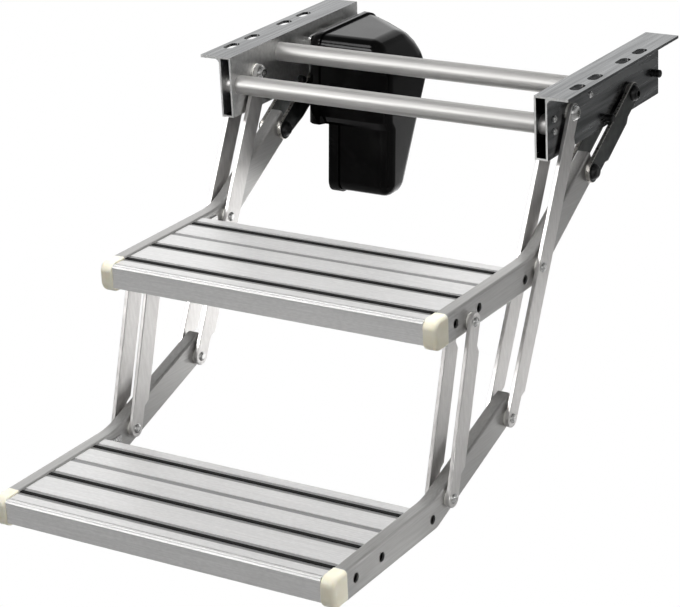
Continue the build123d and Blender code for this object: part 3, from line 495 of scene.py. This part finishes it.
rubber = moulded_finish(
    "grip rubber", dark=(0.006, 0.006, 0.006), light=(0.016, 0.016, 0.016),
    per_metre=(500, 60, 500), gloss=(0.6, 0.75), depth=0.0001,
)
cream = moulded_finish(
    "cream plastic", dark=(0.88, 0.83, 0.66), light=(0.94, 0.895, 0.75),
    per_metre=(90, 90, 90), gloss=(0.4, 0.5), depth=0.00005,
)
gloss_black = moulded_finish(
    "gloss black", dark=(0.001, 0.001, 0.001), light=(0.002, 0.002, 0.002),
    per_metre=(40, 40, 40), gloss=(0.12, 0.18), depth=0.00012,
)
nylon = moulded_finish(
    "natural nylon", dark=(0.66, 0.65, 0.61), light=(0.76, 0.75, 0.71),
    per_metre=(200, 200, 200), gloss=(0.4, 0.5), depth=0.00005,
)
motor_black = moulded_finish(
    "motor paint", dark=(0.012, 0.012, 0.012), light=(0.03, 0.03, 0.03),
    per_metre=(300, 300, 300), gloss=(0.35, 0.5), depth=0.0001,
)
shader_of(cream).inputs["Subsurface Weight"].default_value = CREAM_GLOW
shader_of(cream).inputs["Subsurface Radius"].default_value = CREAM_REACH
shader_of(cream).inputs["Subsurface Scale"].default_value = 1.0
shader_of(gloss_black).inputs["IOR"].default_value = COVER_IOR
shader_of(rubber).inputs["Specular IOR Level"].default_value = RUBBER_SHINE
print("moulded finishes:", rubber.name, cream.name, gloss_black.name, nylon.name)

# %% [markdown]
# ## A finish for every piece
# The record names a material slot for every node, so one table from slot to finish dresses the
# whole frame. Only the treads differ between the two steps, because their grooves are found by
# height.

# %% A finish for every piece
SLOT_FINISHES = {
    "rail_metal": rail_metal,
    "tube_metal": tube_metal,
    "link_metal": link_metal,
    "arm_metal": arm_metal,
    "lock_steel": coated,
    "fastener_steel": zinc,
    "dark_steel": black_oxide,
    "grip_rubber": rubber,
    "cap_plastic": cream,
    "cover_plastic": gloss_black,
    "washer_plastic": nylon,
    "case_metal": die_cast,
    "motor_steel": motor_black,
}
node_slots = {row["node"]: row["material_slot"] for row in frame["record"]["subparts"]}


def dress(piece, finishes):
    """Give a piece these finishes as its only material slots."""
    piece.data.materials.clear()
    for finish in finishes:
        piece.data.materials.append(finish)


for name, slot in node_slots.items():
    if slot == "tread_metal":
        dress(nodes[name], [tread_finishes[name.split("_")[0]]])
    else:
        dress(nodes[name], [SLOT_FINISHES[slot]])
print("dressed nodes:", len(node_slots))

# %% [markdown]
# ## Rounded plate edges
# The links, lock links and rails are cut from plate and profile, and their edges are broken with a
# file, which catches a thin line of light. Modelling each plate again would repeat the CAD, so a
# copy of the node's mesh is joined from its loose triangles, its flat faces are merged, and a bevel
# rounds what stays sharp. On the dark lock links the cut faces take a second, lighter finish, which
# is a painted highlight. On the rails the sawn ends are bright, and the left rail's inner wall
# takes the same bright finish as a painted reflection.

# %% Rounded plate edges
PLATE_ROUND = 0.0007
PLATE_SEGMENTS = 2
SHARP = math.radians(40)
FLAT = math.radians(0.5)
FACE_WEIGHT = 100
WELD = 0.00002
bodies = frame["record"]["behaviour"]["bodies"]
node_bodies = {name: body for body, names in bodies.items() for name in names}


def smooth_flats(piece, angle, weight):
    """Smooth the rounded edges of the active piece, and keep the large faces between them flat."""
    bpy.ops.object.shade_smooth_by_angle(angle=angle)
    flatten = piece.modifiers.new("flat faces", "WEIGHTED_NORMAL")
    flatten.keep_sharp = True
    flatten.weight = weight
    bpy.ops.object.modifier_apply(modifier=flatten.name)
    piece.select_set(False)


def rounded_copy(name, finishes, cut=None):
    """A node's copy with bevelled edges. Faces for which `cut` holds take the second finish."""
    piece = bpy.data.objects.new(f"{name}_rounded", nodes[name].data.copy())
    bpy.context.scene.collection.objects.link(piece)
    bpy.ops.object.select_all(action="DESELECT")
    piece.select_set(True)
    bpy.context.view_layer.objects.active = piece
    bpy.ops.object.mode_set(mode="EDIT")
    bpy.ops.mesh.select_all(action="SELECT")
    bpy.ops.mesh.remove_doubles(threshold=WELD)
    bpy.ops.mesh.dissolve_limited(angle_limit=FLAT)
    bpy.ops.object.mode_set(mode="OBJECT")
    bevel = piece.modifiers.new("edge", "BEVEL")
    bevel.width = PLATE_ROUND
    bevel.segments = PLATE_SEGMENTS
    bevel.limit_method = "ANGLE"
    bevel.angle_limit = SHARP
    dress(piece, finishes)
    bpy.ops.object.modifier_apply(modifier=bevel.name)
    for face in piece.data.polygons:
        face.material_index = 1 if cut and cut(face.normal) else 0
    smooth_flats(piece, SHARP, FACE_WEIGHT)
    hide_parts(name)
    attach(piece, node_bodies[name])
    return piece


def plate_side(normal):
    """The cut faces of a plate that lies square to Y."""
    return abs(normal.y) < SQUARE


def sawn_face(normal):
    """The sawn ends of a rail."""
    return abs(normal.x) > SQUARE


def sawn_and_sheen_face(normal):
    """The sawn ends of the left rail, and its wall that faces the middle, which gets a painted
    reflection.
    """
    return sawn_face(normal) or normal.y > SQUARE


plates = []
for name, slot in node_slots.items():
    if slot == "lock_steel":
        # The lock links' cut faces take the painted highlight.
        plates.append(rounded_copy(name, [coated, edge_highlight_finish], plate_side))
    elif slot == "rail_metal":
        # On the left rail, the wall that faces the middle takes the bright finish as a painted
        # reflection.
        bright = sawn_and_sheen_face if name == "left_rail" else sawn_face
        plates.append(rounded_copy(name, [rail_metal, sawn_end_and_sheen], bright))
    elif slot == "link_metal":
        plates.append(rounded_copy(name, [link_metal]))
print("rounded pieces:", len(plates), "faces:", sum(len(one.data.polygons) for one in plates))

# %% [markdown]
# ## Tools for a mesh
# The motor cover needs a few steps of mesh work several times: a block between two corners, a cut
# by a plane, a cut by another mesh, a selection by a test and a wall from thin faces. In Blender's
# window each of them is a menu entry in edit mode or a modifier. As functions they keep the cover's
# own cells short, and they leave its object at the origin.

# %% Tools for a mesh


def block(name, low, high):
    """A cube between two corners, its mesh moved and its object left at the origin."""
    bpy.ops.object.select_all(action="DESELECT")
    bpy.ops.mesh.primitive_cube_add(size=1, location=(0, 0, 0))
    piece = bpy.context.object
    piece.name = name
    bpy.ops.object.mode_set(mode="EDIT")
    bpy.ops.mesh.select_all(action="SELECT")
    bpy.ops.transform.resize(value=high - low)
    bpy.ops.transform.translate(value=(high + low) / 2)
    bpy.ops.object.mode_set(mode="OBJECT")
    return piece


def slice_at(place, normal, keep_all=False):
    """Cut the active mesh by a plane, and fill the cut if its outer side goes."""
    cut_off = not keep_all
    bpy.ops.object.mode_set(mode="EDIT")
    bpy.ops.mesh.select_all(action="SELECT")
    bpy.ops.mesh.bisect(plane_co=place, plane_no=normal, use_fill=cut_off, clear_outer=cut_off)
    bpy.ops.object.mode_set(mode="OBJECT")


def take_away(piece, cutter):
    """Cut one mesh out of another and drop the cutter."""
    bpy.context.view_layer.objects.active = piece
    cut = piece.modifiers.new("cut", "BOOLEAN")
    cut.object = cutter
    cut.operation = "DIFFERENCE"
    cut.solver = "EXACT"
    bpy.ops.object.modifier_apply(modifier=cut.name)
    bpy.data.objects.remove(cutter)


def pick(parts, test):
    """Select the vertices, edges or faces of the active mesh for which a test holds."""
    mesh = bpy.context.object.data
    for group in (mesh.vertices, mesh.edges, mesh.polygons):
        group.foreach_set("select", [False] * len(group))
    for part in getattr(mesh, parts):
        part.select = test(part)
    mode = {"vertices": "VERT", "edges": "EDGE", "polygons": "FACE"}[parts]
    bpy.ops.object.mode_set(mode="EDIT")
    select_mode = [mode == one for one in ("VERT", "EDGE", "FACE")]
    bpy.context.tool_settings.mesh_select_mode = select_mode


def thicken(piece, thickness, offset):
    """Turn a mesh of outer faces into a wall."""
    bpy.context.view_layer.objects.active = piece
    wall = piece.modifiers.new("wall", "SOLIDIFY")
    wall.thickness = thickness
    wall.offset = offset
    bpy.ops.object.modifier_apply(modifier=wall.name)


print("mesh tools ready")

# %% [markdown]
# ## Motor cover: its flats
# The cover is a moulding with wide, soft corners. The CAD shell has the same flats with a smaller
# fillet, and the wider one is made here on a mesh. A sculpted shape would be softer still, but the
# flats have to stay where the frame has them. So a cube is cut to them by planes: the leaning
# front, the shoulder on the right, the roof that falls to the rear, and the slanting back.

# %% Motor cover: its flats
RIM_RISE = 0.0025
OPEN_INSET = 0.003
FRONT_TOP = -0.0274
FRONT_LEAN = math.tan(math.radians(5.45))
SHOULDER_WIDTH = 0.016
SHOULDER_DROP = 0.037
ROOF_REAR_LEFT = -0.177
ROOF_REAR_CREASE = -0.097
ROOF_REAR_RIGHT = -0.125
SLOPE_TOP = Vector((-0.125, 0, -0.086))
SLOPE_FOOT = Vector((-0.0555, 0, -0.213))
MARGIN = 0.02

cover_low, cover_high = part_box("motor_cover")
left, far = cover_low.y + OPEN_INSET, cover_high.y
roof, base = cover_high.z - RIM_RISE, cover_low.z + RIM_RISE
rear = cover_low.x + RIM_RISE
cut_corner = Vector((rear - MARGIN, left - MARGIN, base - MARGIN))


def cover_front(z):
    """Where the leaning front face stands at a height."""
    return FRONT_TOP + (roof - z) * FRONT_LEAN


cover = block("cover_moulding", Vector((rear, left, base)), Vector((cover_front(base), far, roof)))
slice_at((FRONT_TOP, 0, roof), (1, 0, FRONT_LEAN))
slice_at((0, far - SHOULDER_WIDTH, roof), (0, SHOULDER_DROP, SHOULDER_WIDTH))
roof_left = Vector((ROOF_REAR_LEFT, left, roof))
roof_crease = Vector((ROOF_REAR_CREASE, far - SHOULDER_WIDTH, roof))
roof_right = Vector((ROOF_REAR_RIGHT, far, roof - SHOULDER_DROP))
slice_at(roof_left, (roof_crease - roof_left).cross(roof_right - roof_left))
slice_at((rear, left, 0), (left - far, ROOF_REAR_RIGHT - ROOF_REAR_LEFT, 0))
wedge = block("wedge", cut_corner, Vector((MARGIN, far + MARGIN, SLOPE_TOP.z)))
slice_at(SLOPE_TOP, Vector((0, 1, 0)).cross(SLOPE_TOP - SLOPE_FOOT))
take_away(cover, wedge)
print("cover flats:", len(cover.data.polygons))

# %% [markdown]
# ## Motor cover: its corners
# The mould rounds every corner but those of the open side, where the cover meets its bracket. A
# bevel of selected edges does that. It comes before the finer details, because a wide bevel needs
# long, clean edges.

# %% Motor cover: its corners
COVER_ROUND = 0.015
COVER_SEGMENTS = 6


def to_round(edge):
    """All edges but those of the open side and of the small ledge behind."""
    ends = [cover.data.vertices[one].co for one in edge.vertices]
    at_ledge = max(abs(end.z - SLOPE_TOP.z) for end in ends) < WELD
    return max(end.y for end in ends) > left + WELD and not at_ledge


pick("edges", to_round)
bpy.ops.mesh.bevel(
    offset=COVER_ROUND, segments=COVER_SEGMENTS, affect="EDGES", clamp_overlap=True
)
bpy.ops.object.mode_set(mode="OBJECT")
print("rounded cover:", len(cover.data.polygons), "faces")

# %% [markdown]
# ## Motor cover: ledge and notch
# Half-way down, the front steps back in a short slope, and below it the left side is cut away. The
# slope could be another cut, but moving the vertices below two new edge loops keeps the rounded
# corner whole. The notch goes right through, so a block is taken away there.

# %% Motor cover: ledge and notch
UPPER_RIM = 0.0185
NOTCH_WIDTH = 0.029
NOTCH_TOP = -0.124
LEDGE_DEPTH = 0.008
LEDGE_HEIGHT = 0.011
LEDGE_START = 0.004
LEDGE_SLACK = 0.003

notch_side = left + NOTCH_WIDTH
slice_at((0, 0, NOTCH_TOP + LEDGE_HEIGHT), (0, 0, 1), keep_all=True)
slice_at((0, 0, NOTCH_TOP), (0, 0, 1), keep_all=True)
slice_at((0, left + UPPER_RIM, 0), (0, 1, 0), keep_all=True)
slice_at((0, left + UPPER_RIM + LEDGE_START, 0), (0, 1, 0), keep_all=True)


def under_ledge(point):
    """The front face below the ledge, with its rounded corner, right of the rim."""
    at_front = point.co.x > cover_front(point.co.z) - COVER_ROUND - LEDGE_SLACK
    return at_front and point.co.z < NOTCH_TOP + WELD and point.co.y > left + UPPER_RIM + WELD


pick("vertices", under_ledge)
bpy.ops.transform.translate(value=(-LEDGE_DEPTH, 0, 0))
bpy.ops.object.mode_set(mode="OBJECT")
notch = block("notch", cut_corner, Vector((MARGIN, notch_side, NOTCH_TOP)))
take_away(cover, notch)
print("notched cover:", len(cover.data.polygons), "faces")

# %% [markdown]
# ## Motor cover: rims and wall
# A raised band runs round the open edge. Pushing those faces out would tear them from their
# neighbours, so a copy of them gets a thickness of its own and is joined to the cover again. The
# cover's wall grows inwards in the same way, with a Solidify modifier.

# %% Motor cover: rims and wall
COVER_WALL = 0.003
RIM_SINK = 0.0002
LOWER_RIM = 0.0145
LEDGE_SHARP = math.radians(25)
SOFT_WEIGHT = 50
INWARDS = -1


def on_open_side(face):
    """The flat face that closes the open side."""
    return max(abs(cover.data.vertices[one].co.y - left) for one in face.vertices) < WELD


def on_rim(face):
    """Faces of the two raised bands, without the walls of the notch."""
    under_roof = face.normal.z < -SQUARE and face.center.z > NOTCH_TOP - WELD
    inside_notch = face.normal.y < -SQUARE or under_roof
    upper = face.center.z > NOTCH_TOP and face.center.y < left + UPPER_RIM
    lower = face.center.z < NOTCH_TOP and face.center.y < notch_side + LOWER_RIM
    return (upper or lower) and not inside_notch


slice_at((0, notch_side + LOWER_RIM, 0), (0, 1, 0), keep_all=True)
pick("polygons", on_open_side)
bpy.ops.mesh.delete(type="FACE")
bpy.ops.object.mode_set(mode="OBJECT")
pick("polygons", on_rim)
bpy.ops.mesh.duplicate()
bpy.ops.mesh.separate(type="SELECTED")
bpy.ops.object.mode_set(mode="OBJECT")
rims = next(one for one in bpy.context.selected_objects if one != cover)
thicken(rims, RIM_RISE + RIM_SINK, (RIM_RISE - RIM_SINK) / (RIM_RISE + RIM_SINK))
thicken(cover, COVER_WALL, INWARDS)
bpy.ops.object.select_all(action="DESELECT")
rims.select_set(True)
cover.select_set(True)
bpy.ops.object.join()
smooth_flats(cover, LEDGE_SHARP, SOFT_WEIGHT)
dress(cover, [gloss_black])
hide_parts("motor_cover")
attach(cover, "frame")
print("cover:", len(cover.data.polygons), "faces")
